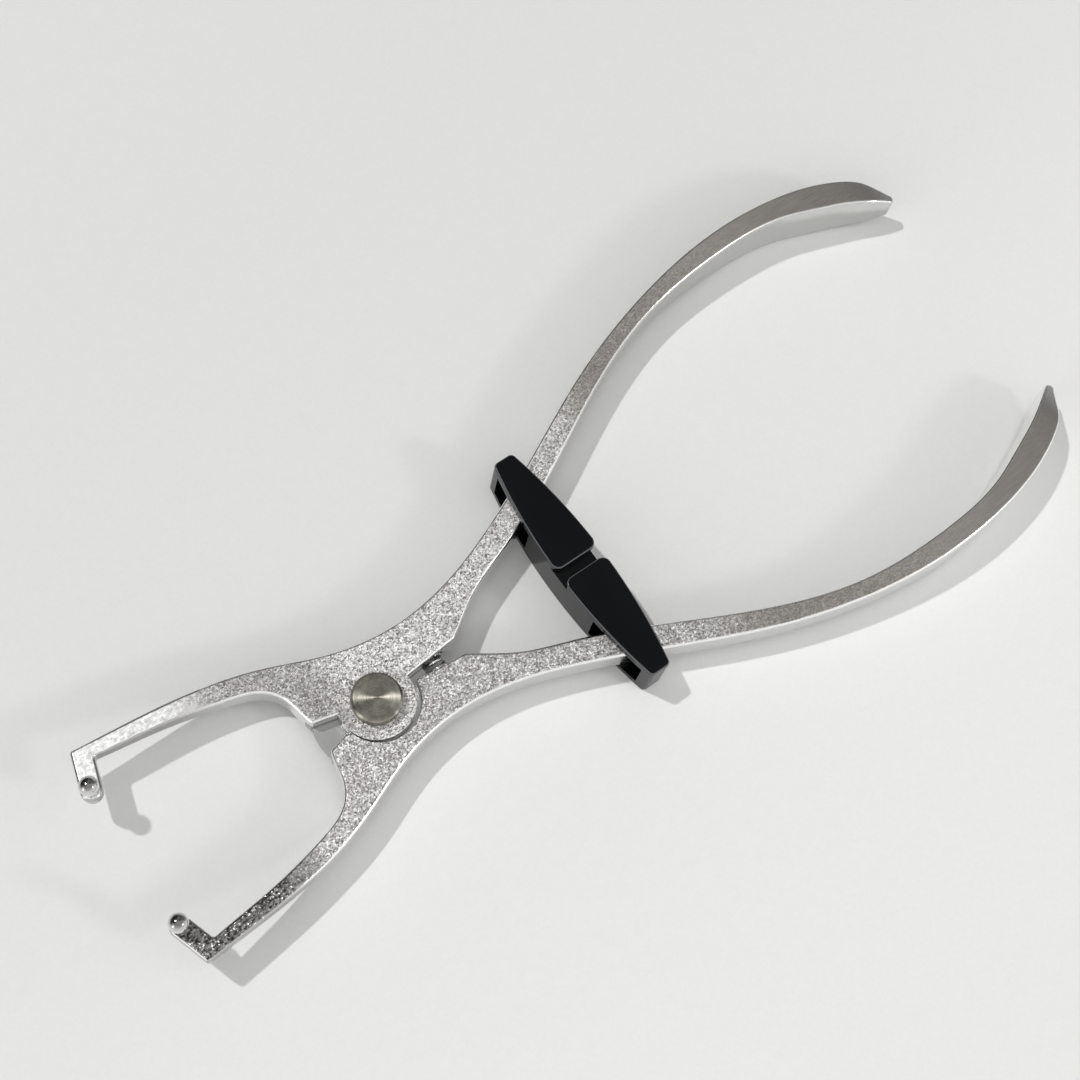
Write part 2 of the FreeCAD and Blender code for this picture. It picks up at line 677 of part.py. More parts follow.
def rectangle(low_x, low_y, high_x, high_y):
    """Return a closed rectangle."""
    return closed_loop([Vector(low_x, low_y, 0), Vector(high_x, low_y, 0),
                        Vector(high_x, high_y, 0), Vector(low_x, high_y, 0)])


def slider():
    """Build the lock slider: two plates joined by a web and end walls, the top plate split."""
    name = "slider"
    body = new_body(name)
    web, wall = web_spread(), wall_spread()
    plan = new_sketch(body, name + "_plan", "XY_Plane", slider_plan(wall + size("slider_wall")))
    pad(body, plan, name + "_block", "sizes.slider_height")

    split = size("split_width") / 2
    front, rear = SLIDER_REACH - size("slider_depth"), SLIDER_REACH + size("slider_depth")
    ceiling = MID_LEVEL + " + sizes.lever_thick / 2 + sizes.plate_play"
    floor = MID_LEVEL + " - sizes.lever_thick / 2 - sizes.plate_play"
    height = "sizes.lever_thick + 2 * sizes.plate_play"
    cut_split = new_sketch(body, name + "_split_outline", "XY_Plane",
                           rectangle(front, -split, rear, split), ceiling)
    pocket(body, cut_split, name + "_split", "sizes.slider_height", reverse=True)
    rounded(body, name + "_corners", lambda e: is_upright(e) and not beside_slot(e), "slider_round")
    rounded(body, name + "_slot_corners", lambda e: is_upright(e) and beside_slot(e), "slot_round")
    for sense, label in ((1, "upper"), (-1, "lower")):
        inner, outer = sorted((sense * web, sense * wall))
        window = new_sketch(body, "%s_%s_window_outline" % (name, label), "XY_Plane",
                            rectangle(front, inner, rear, outer), floor)
        pocket(body, window, "%s_%s_window" % (name, label), height, reverse=True)
    back = SLIDER_REACH + size("slider_depth") / 2 - size("web_setback")
    setback = new_sketch(body, name + "_web_outline", "XY_Plane", rectangle(back, -web, rear, web), floor)
    pocket(body, setback, name + "_web", height, reverse=True)
    rounded(body, name + "_edges", is_slider_rim, "slider_edge")
    return body


def beside_slot(edge):
    """Tell whether an upright edge of the slider stands at the slot of its top plate."""
    return abs(abs(edge.Vertexes[0].Point.y) - size("split_width") / 2) < 0.1


def is_slider_rim(edge):
    """Tell whether an edge runs round the slider's outer top or bottom face."""
    low, high = edge.BoundBox.ZMin, edge.BoundBox.ZMax
    at_top = abs(low - size("slider_height")) < 1e-3 and abs(high - size("slider_height")) < 1e-3
    at_foot = abs(low) < 1e-3 and abs(high) < 1e-3
    return at_top or at_foot


# Build, check and write every piece

PIECES = [upper_lever(), lower_lever(), pivot_barrel(), pivot_screw(), spring(), slider()]
DOC.recompute()

for item in DOC.Objects:
    if "Invalid" in item.State or "Error" in item.State:
        raise RuntimeError("%s failed: %s" % (item.Name, item.State))

os.makedirs("parts", exist_ok=True)
for piece in PIECES:
    shape = piece.Shape
    if shape.isNull() or not shape.isValid() or len(shape.Solids) != 1:
        raise RuntimeError("%s has no single valid solid" % piece.Label)
    shape.exportStep(os.path.join("parts", piece.Label + ".step"))
    print(piece.Label, round(shape.Volume, 2), [round(v, 2) for v in (
        shape.BoundBox.XMin, shape.BoundBox.XMax, shape.BoundBox.YMin, shape.BoundBox.YMax,
        shape.BoundBox.ZMin, shape.BoundBox.ZMax)])
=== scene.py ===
"""Looks for the expanding separator pliers: blasted steel levers, turned pivot, wire spring, black slider."""

import logging
import math
from dataclasses import dataclass, field
from enum import Enum
from typing import Any

import bpy
from mathutils import Matrix, Vector


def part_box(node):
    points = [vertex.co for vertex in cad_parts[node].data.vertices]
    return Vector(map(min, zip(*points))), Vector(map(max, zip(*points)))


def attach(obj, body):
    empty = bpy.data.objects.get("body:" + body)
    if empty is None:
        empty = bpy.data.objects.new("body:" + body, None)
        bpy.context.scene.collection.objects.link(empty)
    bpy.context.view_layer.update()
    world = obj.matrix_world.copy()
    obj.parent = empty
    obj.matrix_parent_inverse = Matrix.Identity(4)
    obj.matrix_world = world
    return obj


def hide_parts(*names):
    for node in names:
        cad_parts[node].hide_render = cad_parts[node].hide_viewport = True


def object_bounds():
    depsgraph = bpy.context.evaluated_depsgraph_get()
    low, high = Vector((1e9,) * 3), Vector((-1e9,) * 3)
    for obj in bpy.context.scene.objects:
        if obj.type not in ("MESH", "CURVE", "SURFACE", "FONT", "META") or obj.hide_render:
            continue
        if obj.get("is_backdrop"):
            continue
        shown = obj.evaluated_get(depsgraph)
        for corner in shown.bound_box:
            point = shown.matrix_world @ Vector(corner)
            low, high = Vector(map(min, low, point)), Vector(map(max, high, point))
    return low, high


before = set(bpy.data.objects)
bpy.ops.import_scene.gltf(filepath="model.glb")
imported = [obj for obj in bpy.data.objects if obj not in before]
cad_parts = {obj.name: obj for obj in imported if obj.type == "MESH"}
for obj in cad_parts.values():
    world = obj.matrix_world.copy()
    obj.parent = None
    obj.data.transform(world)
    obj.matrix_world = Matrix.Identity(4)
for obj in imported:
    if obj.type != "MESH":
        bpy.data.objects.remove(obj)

LOG = logging.getLogger("pliers")
MM = 0.001

Colour = tuple[float, float, float]
Point = tuple[float, float, float]
Range = tuple[Any, Any]
Socket = bpy.types.NodeSocket


class Node(Enum):
    """The CAD nodes of the pliers."""

    UPPER_LEVER = "upper_lever"
    LOWER_LEVER = "lower_lever"
    PIVOT_BARREL = "pivot_barrel"
    PIVOT_SCREW = "pivot_screw"
    SPRING = "spring"
    SLIDER = "slider"


class Body(Enum):
    """The body that the new spring rides on."""

    PIVOT = "pivot"


class Fade(Enum):
    """How a value goes from one end of its range to the other."""

    STRAIGHT = "LINEAR"
    SMOOTH = "SMOOTHSTEP"


def metres(point: Point) -> Vector:
    """Return a point given in millimetres as metres."""
    return Vector(point) * MM


@dataclass(frozen=True)
class Grain:
    """A noise pattern: its size in millimetres, how it is drawn out, and its finer octaves."""

    size: float
    stretch: Point = (1.0, 1.0, 1.0)
    detail: float = 2.0
    roughness: float = 0.5


class Tree:
    """A node tree that is built step by step."""

    def __init__(self, tree: bpy.types.NodeTree) -> None:
        """Take the tree to build in."""
        self.tree = tree

    def add(self, kind: str, **settings: Any) -> bpy.types.Node:
        """Add a node and set its properties.

        Args:
            kind: the node's type.
            settings: properties by name.

        Returns:
            The new node.
        """
        made = self.tree.nodes.new(kind)
        for key, value in settings.items():
            setattr(made, key, value)
        return made

    def link(self, source: Socket, target: Socket) -> None:
        """Join two sockets."""
        self.tree.links.new(source, target)

    def feed(self, target: Socket, value: Any) -> None:
        """Give an input its value.

        Args:
            target: the input.
            value: a socket or a constant.
        """
        if isinstance(value, bpy.types.NodeSocket):
            self.link(value, target)
        else:
            target.default_value = value

    def maths(self, operation: str, first: Any, second: Any = None) -> Socket:
        """Add a Math node.

        Args:
            operation: the node's operation.
            first: a socket or a number.
            second: a socket or a number, where the operation takes two.

        Returns:
            The node's output.
        """
        made = self.add("ShaderNodeMath", operation=operation)
        self.feed(made.inputs[0], first)
        if second is not None:
            self.feed(made.inputs[1], second)
        return made.outputs[0]

    def times(self, first: Any, second: Any) -> Socket:
        """Return the product of two values, each a socket or a number."""
        return self.maths("MULTIPLY", first, second)

    def plus(self, first: Any, second: Any) -> Socket:
        """Return the sum of two values, each a socket or a number."""
        return self.maths("ADD", first, second)

    def ranged(self, source: Socket, given: Range, wanted: Range, fade: Fade) -> Socket:
        """Carry a value from one range to another.

        Args:
            source: the value.
            given: the range it comes in, as sockets or numbers.
            wanted: the range to carry it to, as sockets or numbers.
            fade: how it goes from end to end.

        Returns:
            The carried value.
        """
        made = self.add("ShaderNodeMapRange", interpolation_type=fade.value)
        self.link(source, made.inputs["Value"])
        for label, value in zip(("From Min", "From Max", "To Min", "To Max"), (*given, *wanted)):
            self.feed(made.inputs[label], value)
        return made.outputs["Result"]

    def towards(self, source: Socket, direction: Point) -> Socket:
        """Return how far a vector goes along a direction.

        Args:
            source: the vector.
            direction: the direction, of length 1.

        Returns:
            The length along it.
        """
        made = self.add("ShaderNodeVectorMath", operation="DOT_PRODUCT")
        self.link(source, made.inputs[0])
        made.inputs[1].default_value = direction
        return made.outputs["Value"]


class Shader(Tree):
    """A material's node tree with one Principled shader."""

    def __init__(self, name: str) -> None:
        """Start an empty material.

        Args:
            name: the material's name.
        """
        self.material = bpy.data.materials.new(name)
        self.material.use_nodes = True
        super().__init__(self.material.node_tree)
        self.tree.nodes.clear()
        self.surface = self.add("ShaderNodeBsdfPrincipled")
        output = self.add("ShaderNodeOutputMaterial")
        self.link(self.surface.outputs["BSDF"], output.inputs["Surface"])
        coordinates = self.add("ShaderNodeTexCoord")
        self.place = coordinates.outputs["Object"]
        self.normal = coordinates.outputs["Normal"]

    def plain(self, **values: Any) -> None:
        """Set constants on the Principled shader's own sockets.

        Args:
            values: socket values, their names in lower case with underscores.
        """
        for key, value in values.items():
            label = key.replace("_", " ").title().replace("Ior", "IOR")
            self.surface.inputs[label].default_value = value

    def wear(self, label: str, value: Socket) -> None:
        """Join a value to one of the Principled shader's own sockets."""
        self.link(value, self.surface.inputs[label])

    def axis(self, source: Socket, name: str) -> Socket:
        """Pick one axis of a vector.

        Args:
            source: the vector.
            name: the axis, X, Y or Z.

        Returns:
            The vector's value on it.
        """
        split = self.add("ShaderNodeSeparateXYZ")
        self.link(source, split.inputs[0])
        return split.outputs[name]

    def lean(self) -> Socket:
        """Return 1 where the surface lies level, up or down, and 0 where it stands upright."""
        return self.maths("ABSOLUTE", self.axis(self.normal, "Z"))

    def rest(self, share: Socket) -> Socket:
        """Return what a share leaves of 1."""
        return self.maths("SUBTRACT", 1.0, share)

    def weigh(self, share: float, first: Socket, second: Socket) -> Socket:
        """Add two values by weight.

        Args:
            share: the first value's weight. The second has the rest.
            first: the first value.
            second: the second value.

        Returns:
            The weighted sum.
        """
        return self.plus(self.times(first, share), self.times(second, 1 - share))

    def share(self, source: Socket, edges: Range) -> Socket:
        """Return how far a value has gone from the first edge to the second, smoothly, from 0 to 1."""
        return self.ranged(source, edges, (0.0, 1.0), Fade.SMOOTH)

    def passed(self, source: Socket, edges: Range) -> Socket:
        """Return how far a place has gone between two edges in millimetres, smoothly, from 0 to 1."""
        return self.share(source, (edges[0] * MM, edges[1] * MM))

    def span(self, source: Socket, ends: Range) -> Socket:
        """Return a value from 0 to 1 spread over a range."""
        return self.ranged(source, (0.0, 1.0), ends, Fade.STRAIGHT)

    def below(self, source: Socket, limit: float) -> Socket:
        """Return 1 where a length is under a limit given in millimetres, and 0 elsewhere."""
        return self.maths("LESS_THAN", source, limit * MM)

    def radius(self) -> Socket:
        """Measure the distance from the pivot axis.

        Returns:
            The distance.
        """
        x, y = self.axis(self.place, "X"), self.axis(self.place, "Y")
        return self.maths("SQRT", self.plus(self.times(x, x), self.times(y, y)))

    def within(self, centre: Point, radius: float) -> Socket:
        """Mark the inside of a sphere.

        Args:
            centre: its centre in millimetres.
            radius: its radius in millimetres.

        Returns:
            1 inside the sphere and 0 outside it.
        """
        made = self.add("ShaderNodeVectorMath", operation="DISTANCE")
        self.link(self.place, made.inputs[0])
        made.inputs[1].default_value = metres(centre)
        return self.below(made.outputs["Value"], radius)

    def facets(self, size: float) -> bpy.types.Node:
        """Add a pattern of small facets on the object's own coordinates.

        Args:
            size: a facet's size in millimetres.

        Returns:
            The pattern, with a random colour for each facet and the distance from its middle.
        """
        made = self.add("ShaderNodeTexVoronoi")
        self.link(self.place, made.inputs["Vector"])
        made.inputs["Scale"].default_value = 1 / (size * MM)
        return made

    def chance(self, pattern: bpy.types.Node) -> Socket:
        """Return one random value for each facet of a pattern."""
        return self.axis(pattern.outputs["Color"], "X")

    def scatter(self, size: float, share: Socket) -> Socket:
        """Tilt each facet of a blasted surface by a small random turn.

        Args:
            size: a facet's size in millimetres.
            share: how far the facets tilt.

        Returns:
            A vector to add to the surface's normal.
        """
        centred = self.add("ShaderNodeVectorMath", operation="SUBTRACT")
        self.link(self.facets(size).outputs["Color"], centred.inputs[0])
        centred.inputs[1].default_value = (0.5, 0.5, 0.5)
        scaled = self.add("ShaderNodeVectorMath", operation="SCALE")
        self.link(centred.outputs[0], scaled.inputs[0])
        self.link(share, scaled.inputs["Scale"])
        return scaled.outputs[0]

    def noise(self, grain: Grain) -> Socket:
        """Add a noise pattern on the object's own coordinates.

        Args:
            grain: the pattern's sizes.

        Returns:
            The noise's value, between 0 and 1.
        """
        drawn = self.add("ShaderNodeMapping")
        drawn.inputs["Scale"].default_value = [1 / length for length in grain.stretch]
        self.link(self.place, drawn.inputs["Vector"])
        made = self.add("ShaderNodeTexNoise")
        self.link(drawn.outputs["Vector"], made.inputs["Vector"])
        made.inputs["Scale"].default_value = 1 / (grain.size * MM)
        made.inputs["Detail"].default_value = grain.detail
        made.inputs["Roughness"].default_value = grain.roughness
        return made.outputs["Fac"]

    def blend(self, share: Any, first: Any, second: Any) -> Socket:
        """Mix two colours.

        Args:
            share: how much of the second colour, a socket or a number.
            first: a colour or a socket.
            second: a colour or a socket.

        Returns:
            The mixed colour.
        """
        made = self.add("ShaderNodeMix", data_type="RGBA")
        self.feed(made.inputs[0], share)
        for index, value in ((6, first), (7, second)):
            is_socket = isinstance(value, bpy.types.NodeSocket)
            self.feed(made.inputs[index], value if is_socket else (*value, 1.0))
        return made.outputs[2]

    def mix(self, share: Any, first: Any, second: Any) -> Socket:
        """Mix two values.

        Args:
            share: how much of the second value, a socket or a number.
            first: a socket or a number.
            second: a socket or a number.

        Returns:
            The mixed value.
        """
        made = self.add("ShaderNodeMix", data_type="FLOAT")
        for index, value in ((0, share), (2, first), (3, second)):
            self.feed(made.inputs[index], value)
        return made.outputs[0]

    def ramp(self, source: Socket, places: tuple[float, ...], colours: tuple[Colour, ...]) -> Socket:
        """Turn a value into a colour over a few stops.

        Args:
            source: the value.
            places: where the stops lie.
            colours: the colour at each of them.

        Returns:
            The colour.
        """
        made = self.add("ShaderNodeValToRGB")
        self.link(source, made.inputs["Fac"])
        stops = made.color_ramp.elements
        while len(stops) < len(places):
            stops.new(0.5)
        for stop, place, colour in zip(stops, places, colours):
            stop.position = place
            stop.color = (*colour, 1.0)
        return made.outputs["Color"]

    def bump(self, height: Socket, depth: float, strength: float, tilt: Socket | None = None) -> None:
        """Raise the surface by a height pattern.

        Args:
            height: the pattern.
            depth: its depth in millimetres.
            strength: how strongly it shows.
            tilt: a vector to lean the surface by, if any.
        """
        made = self.add("ShaderNodeBump")
        made.inputs["Strength"].default_value = strength
        made.inputs["Distance"].default_value = depth * MM
        self.link(height, made.inputs["Height"])
        normal = made.outputs["Normal"]
        if tilt is not None:
            leaned = self.add("ShaderNodeVectorMath", operation="ADD")
            self.link(normal, leaned.inputs[0])
            self.link(tilt, leaned.inputs[1])
            unit = self.add("ShaderNodeVectorMath", operation="NORMALIZE")
            self.link(leaned.outputs[0], unit.inputs[0])
            normal = unit.outputs[0]
        self.wear("Normal", normal)


@dataclass(frozen=True)
class LeverZones:
    """Where each finish of a lever lies, as values between 0 and 1, and two measures they come from."""

    along: Socket
    lean: Socket
    flat: Socket
    arm: Socket
    handle: Socket
    brushed: Socket
    recess: Socket
    ball: Socket


@dataclass(frozen=True)
class LeverPatterns:
    """The patterns that a lever's finishes are made from."""

    facet: Socket
    middle: Socket
    grit: Socket
    streak: Socket
    dent: Socket
    tumble: Socket


@dataclass(frozen=True)
class CastSteel:
    """Cast steel levers: blasted body, hammered jaw arms coloured near white as a painted reflection, handles
    brushed smooth, polished rims.
    """

    name: str
    ball: Point
    ball_radius: float = 1.62
    # the ball is coloured dark on its level top and bright round its sides: painted reflection
    ball_top_painted_shade: Colour = (0.26, 0.255, 0.245)
    ball_rim_painted_highlight: Colour = (0.80, 0.80, 0.79)
    ball_lean: Range = (0.97, 0.35)
    ball_rough: float = 0.14

    grain: float = 0.22
    grit_share: float = 0.72
    grit_places: tuple[float, ...] = (0.12, 0.42, 0.74, 0.86)
    pit_dark: Colour = (0.20, 0.19, 0.18)
    pit_mid: Colour = (0.58, 0.566, 0.552)
    pit_light: Colour = (0.87, 0.86, 0.845)
    peak_bright: Colour = (1.0, 1.0, 0.99)
    blasted_rough: Range = (0.66, 0.50)
    cloud: Grain = Grain(1.6, detail=3.0, roughness=0.6)
    # how far the blasted top darkens from the pivot towards the jaws
    darkening: float = 0.0
    darkening_along: Range = (0.0, -8.0)

    # near-white jaw arm colour, brighter than steel: a painted reflection
    arm: Colour = (1.0, 1.0, 0.995)
    arm_dent: Colour = (0.74, 0.735, 0.725)
    arm_rough: float = 0.50
    arm_along: Range = (-17.0, -29.0)
    dent: Grain = Grain(0.60, (1.5, 1.0, 1.0), detail=3.0, roughness=0.6)
    dent_edges: Range = (0.40, 0.62)

    brushed_dark: Colour = (0.23, 0.217, 0.195)
    brushed_light: Colour = (0.48, 0.461, 0.430)
    brushed_rough: Range = (0.46, 0.58)
    brushed_along: Range = (70.0, 106.0)
    handle_along: Range = (46.0, 60.0)
    streak: Grain = Grain(0.11, (45.0, 1.0, 1.0), detail=2.0, roughness=0.7)

    side: Colour = (0.93, 0.93, 0.92)
    arm_side: Colour = (0.50, 0.495, 0.485)
    grip_side: Colour = (0.93, 0.93, 0.92)
    side_rough: Range = (0.12, 0.24)
    side_stain: float = 0.16
    tumble: Grain = Grain(0.9, detail=3.0, roughness=0.6)
    flat_lean: Range = (0.90, 0.975)

    # recess floor colour: machined steel, coloured darker as painted shade of the upper lever's step
    machined_with_painted_shade: Colour = (0.42, 0.42, 0.41)
    machined_rough: float = 0.34
    recess_top: float = 5.2
    recess_radius: float = 11.0
    recess_half: float = 7.6

    tilt: float = 0.24
    arm_tilt: float = 0.10
    tilt_grain: float = 1.1
    pit_height: float = 0.34
    dent_height: float = 0.8
    ripple_height: float = 0.12
    relief_depth: float = 0.10
    relief_strength: float = 0.7

    def zones(self, s: Shader) -> LeverZones:
        """Find where each finish lies.

        Args:
            s: the shader to build in.

        Returns:
            The zones.
        """
        along = s.axis(s.place, "X")
        across = s.maths("ABSOLUTE", s.axis(s.place, "Y"))
        low = s.below(s.axis(s.place, "Z"), self.recess_top)
        inside = s.times(s.below(s.radius(), self.recess_radius), s.below(across, self.recess_half))
        lean = s.lean()
        return LeverZones(
            along=along,
            lean=lean,
            flat=s.share(lean, self.flat_lean),
            arm=s.passed(along, self.arm_along),
            handle=s.passed(along, self.handle_along),
            brushed=s.passed(along, self.brushed_along),
            recess=s.times(low, inside),
            ball=s.within(self.ball, self.ball_radius),
        )

    def patterns(self, s: Shader) -> LeverPatterns:
        """Add the patterns of the finishes.

        Args:
            s: the shader to build in.

        Returns:
            The patterns.
        """
        blast = s.facets(self.grain)
        facet = s.chance(blast)
        return LeverPatterns(
            facet=facet,
            middle=blast.outputs["Distance"],
            grit=s.weigh(self.grit_share, facet, s.noise(self.cloud)),
            streak=s.noise(self.streak),
            dent=s.noise(self.dent),
            tumble=s.noise(self.tumble),
        )

    def top_colour(self, s: Shader, zone: LeverZones, pattern: LeverPatterns) -> Socket:
        """Colour the level faces, from the hammered arm over the blasted body to the brushed handle.

        Args:
            s: the shader to build in.
            zone: where each finish lies.
            pattern: the patterns of the finishes.

        Returns:
            The colour.
        """
        tones = (self.pit_dark, self.pit_mid, self.pit_light, self.peak_bright)
        fresh = s.ramp(pattern.grit, self.grit_places, tones)
        # the blasted top grows darker from the pivot towards the jaws, blended to the pit colour
        darkening = s.times(s.passed(zone.along, self.darkening_along), self.darkening)
        blasted = s.blend(darkening, fresh, self.pit_dark)
        drawn = s.mix(zone.brushed, pattern.grit, pattern.streak)
        brushed = s.blend(drawn, self.brushed_dark, self.brushed_light)
        hammered = s.blend(s.share(pattern.dent, self.dent_edges), self.arm, self.arm_dent)
        return s.blend(zone.arm, s.blend(zone.handle, blasted, brushed), hammered)

    def colour(self, s: Shader, zone: LeverZones, pattern: LeverPatterns) -> Socket:
        """Colour the whole lever.

        Args:
            s: the shader to build in.
            zone: where each finish lies.
            pattern: the patterns of the finishes.

        Returns:
            The colour.
        """
        side = s.blend(zone.handle, s.blend(zone.arm, self.side, self.arm_side), self.grip_side)
        stained = s.blend(s.span(pattern.tumble, (0.0, self.side_stain)), side, self.pit_dark)
        outside = s.blend(zone.flat, stained, self.top_colour(s, zone, pattern))
        # the recess floor takes the darker machined colour, partly painted shade
        steel = s.blend(zone.recess, outside, self.machined_with_painted_shade)
        # painted reflection: the ball's level top dark, its steep sides bright
        ball = s.blend(s.share(zone.lean, self.ball_lean), self.ball_top_painted_shade, self.ball_rim_painted_highlight)
        return s.blend(zone.ball, steel, ball)

    def roughness(self, s: Shader, zone: LeverZones, pattern: LeverPatterns) -> Socket:
        """Set how rough each finish is.

        Args:
            s: the shader to build in.
            zone: where each finish lies.
            pattern: the patterns of the finishes.

        Returns:
            The roughness.
        """
        blasted = s.span(pattern.facet, self.blasted_rough)
        brushed = s.span(pattern.streak, self.brushed_rough)
        top = s.mix(zone.arm, s.mix(zone.brushed, blasted, brushed), self.arm_rough)
        outside = s.mix(zone.flat, s.span(pattern.tumble, self.side_rough), top)
        return s.mix(zone.ball, s.mix(zone.recess, outside, self.machined_rough), self.ball_rough)

    def relief(self, s: Shader, zone: LeverZones, pattern: LeverPatterns) -> None:
        """Raise the pits, dents and ripples, and tilt the facets.

        Args:
            s: the shader to build in.
            zone: where each finish lies.
            pattern: the patterns of the finishes.
        """
        worked = s.maths("MAXIMUM", zone.brushed, zone.arm)
        smooth = s.maths("MAXIMUM", worked, s.maths("MAXIMUM", zone.recess, zone.ball))
        blasted = s.times(zone.flat, s.rest(smooth))
        hammered = s.times(s.times(zone.arm, zone.flat), s.rest(zone.ball))
        pits = s.times(s.plus(pattern.facet, pattern.middle), s.times(blasted, self.pit_height))
        dents = s.times(pattern.dent, s.times(hammered, self.dent_height))
        ripple = s.times(pattern.tumble, s.times(s.rest(zone.flat), self.ripple_height))
        turned = s.plus(s.times(blasted, self.tilt), s.times(hammered, self.arm_tilt))
        tilt = s.scatter(self.grain * self.tilt_grain, turned)
        s.bump(s.plus(pits, s.plus(dents, ripple)), self.relief_depth, self.relief_strength, tilt)

    def build(self) -> bpy.types.Material:
        """Build the finish.

        Returns:
            The material.
        """
        s = Shader(self.name)
        s.plain(metallic=1.0)
        zone, pattern = self.zones(s), self.patterns(s)
        s.wear("Base Color", self.colour(s, zone, pattern))
        s.wear("Roughness", self.roughness(s, zone, pattern))
        self.relief(s, zone, pattern)
        return s.material


@dataclass(frozen=True)
class TurnedSteel:
    """Lathe-turned steel of the pivot: fine rings on the flat faces that draw lights out into rays."""

    name: str = "turned_steel"
    dark: Colour = (0.085, 0.077, 0.060)
    light: Colour = (0.46, 0.435, 0.375)
    tone_places: tuple[float, ...] = (0.34, 0.66)
    ring: float = 0.09
    ring_detail: float = 3.0
    ring_share: float = 0.5
    ring_depth: float = 0.012
    ring_strength: float = 0.5
    smudge: Grain = Grain(1.7, detail=3.0)
    rough: Range = (0.22, 0.36)
    drawn_out: float = 0.90
    quarter_turn: float = 0.25

    def build(self) -> bpy.types.Material:
        """Build the finish.

        Returns:
            The material.
        """
        s = Shader(self.name)
        s.plain(metallic=1.0, anisotropic=self.drawn_out, anisotropic_rotation=self.quarter_turn)
        s.wear("Tangent", s.add("ShaderNodeTangent", direction_type="RADIAL", axis="Z").outputs["Tangent"])
        rings = s.add("ShaderNodeTexNoise", noise_dimensions="1D")
        rings.inputs["Scale"].default_value = 1 / (self.ring * MM)
        rings.inputs["Detail"].default_value = self.ring_detail
        s.link(s.radius(), rings.inputs["W"])
        smudge = s.noise(self.smudge)
        tone = s.weigh(self.ring_share, rings.outputs["Fac"], smudge)
        s.wear("Base Color", s.ramp(tone, self.tone_places, (self.dark, self.light)))
        s.wear("Roughness", s.span(smudge, self.rough))
        s.bump(rings.outputs["Fac"], self.ring_depth, self.ring_strength)
        return s.material


@dataclass(frozen=True)
class DrawnWire:
    """Bright drawn wire of the spring, with faint lengthwise marks."""

    name: str = "drawn_wire"
    colour: Colour = (0.78, 0.78, 0.77)
    marked: Colour = (0.52, 0.52, 0.51)
    marked_most: float = 0.5
    marks: Grain = Grain(0.12, (3.0, 1.0, 3.0))
    rough: Range = (0.12, 0.26)

    def build(self) -> bpy.types.Material:
        """Build the finish.

        Returns:
            The material.
        """
        s = Shader(self.name)
        s.plain(metallic=1.0)
        marks = s.noise(self.marks)
        s.wear("Base Color", s.blend(s.span(marks, (0.0, self.marked_most)), self.colour, self.marked))
        s.wear("Roughness", s.span(marks, self.rough))
        return s.material


@dataclass(frozen=True)
class MouldedPlastic:
    """Glossy black moulded plastic of the slider, with faint flow marks and rims lightened as a painted
    highlight, with a little scuffing.
    """

    name: str = "moulded_plastic"
    colour: Colour = (0.0018, 0.0021, 0.0025)
    flow: Colour = (0.0040, 0.0046, 0.0054)
    flow_marks: Grain = Grain(5.0, (1.0, 3.0, 1.0), detail=3.0)
    # lighter colour of the rims: a painted highlight, with a little scuffing
    scuff_and_rim_highlight: Colour = (0.11, 0.113, 0.118)
    edge_foot: Range = (0.20, 0.50)
    edge_top: Range = (0.985, 0.85)
    rough: Range = (0.12, 0.22)
    gloss: float = 0.20
    skin: Grain = Grain(0.22)
    skin_depth: float = 0.006
    skin_strength: float = 0.35

    def build(self) -> bpy.types.Material:
        """Build the finish.

        Returns:
            The material.
        """
        s = Shader(self.name)
        s.plain(specular_ior_level=self.gloss)
        flow = s.noise(self.flow_marks)
        lean = s.lean()
        # the rims between upright and level faces take the lighter colour: a painted highlight
        edge = s.times(s.share(lean, self.edge_foot), s.share(lean, self.edge_top))
        s.wear("Base Color", s.blend(edge, s.blend(flow, self.colour, self.flow), self.scuff_and_rim_highlight))
        s.wear("Roughness", s.span(flow, self.rough))
        s.bump(s.noise(self.skin), self.skin_depth, self.skin_strength)
        return s.material


@dataclass(frozen=True)
class TableTop:
    """Matt pale table under the pliers, with a faint sparkle, its colour darker away from the near side as a
    painted falloff of light.
    """

    name: str = "table_top"
    colour: Colour = (0.85, 0.85, 0.84)
    painted_shade_share: float = 0.87
    near: Point = (0.172, -0.985, 0.0)
    half: float = 95.0
    mottle: Grain = Grain(3.0, detail=4.0)
    mottle_share: float = 0.5
    sparkle: float = 0.45
    speck: float = 0.10
    speck_most: float = 0.40
    rough: float = 0.62
    gloss: float = 0.25

    def build(self) -> bpy.types.Material:
        """Build the finish.

        Returns:
            The material.
        """
        s = Shader(self.name)
        s.plain(roughness=self.rough, specular_ior_level=self.gloss)
        # painted light: the table's colour falls off from the near side to the far side
        painted_light_slope = s.passed(s.towards(s.place, self.near), (-self.half, self.half))
        far = tuple(channel * self.painted_shade_share for channel in self.colour)
        base = s.blend(painted_light_slope, far, self.colour)
        darker = s.blend(self.speck, base, (0.0, 0.0, 0.0))
        tone = s.weigh(self.mottle_share, s.noise(self.mottle), s.chance(s.facets(self.sparkle)))
        s.wear("Base Color", s.blend(s.span(tone, (0.0, self.speck_most)), base, darker))
        return s.material


def dress(node: Node, finish: bpy.types.Material) -> None:
    """Give a CAD node its finish, in place of the plain material of its slot.

    Args:
        node: the node.
        finish: its material.
    """
    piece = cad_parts[node.value]
    if not piece.material_slots:
        piece.data.materials.append(finish)
    for held in piece.material_slots:
        held.material = finish
    LOG.info("%s wears %s", node.value, finish.name)


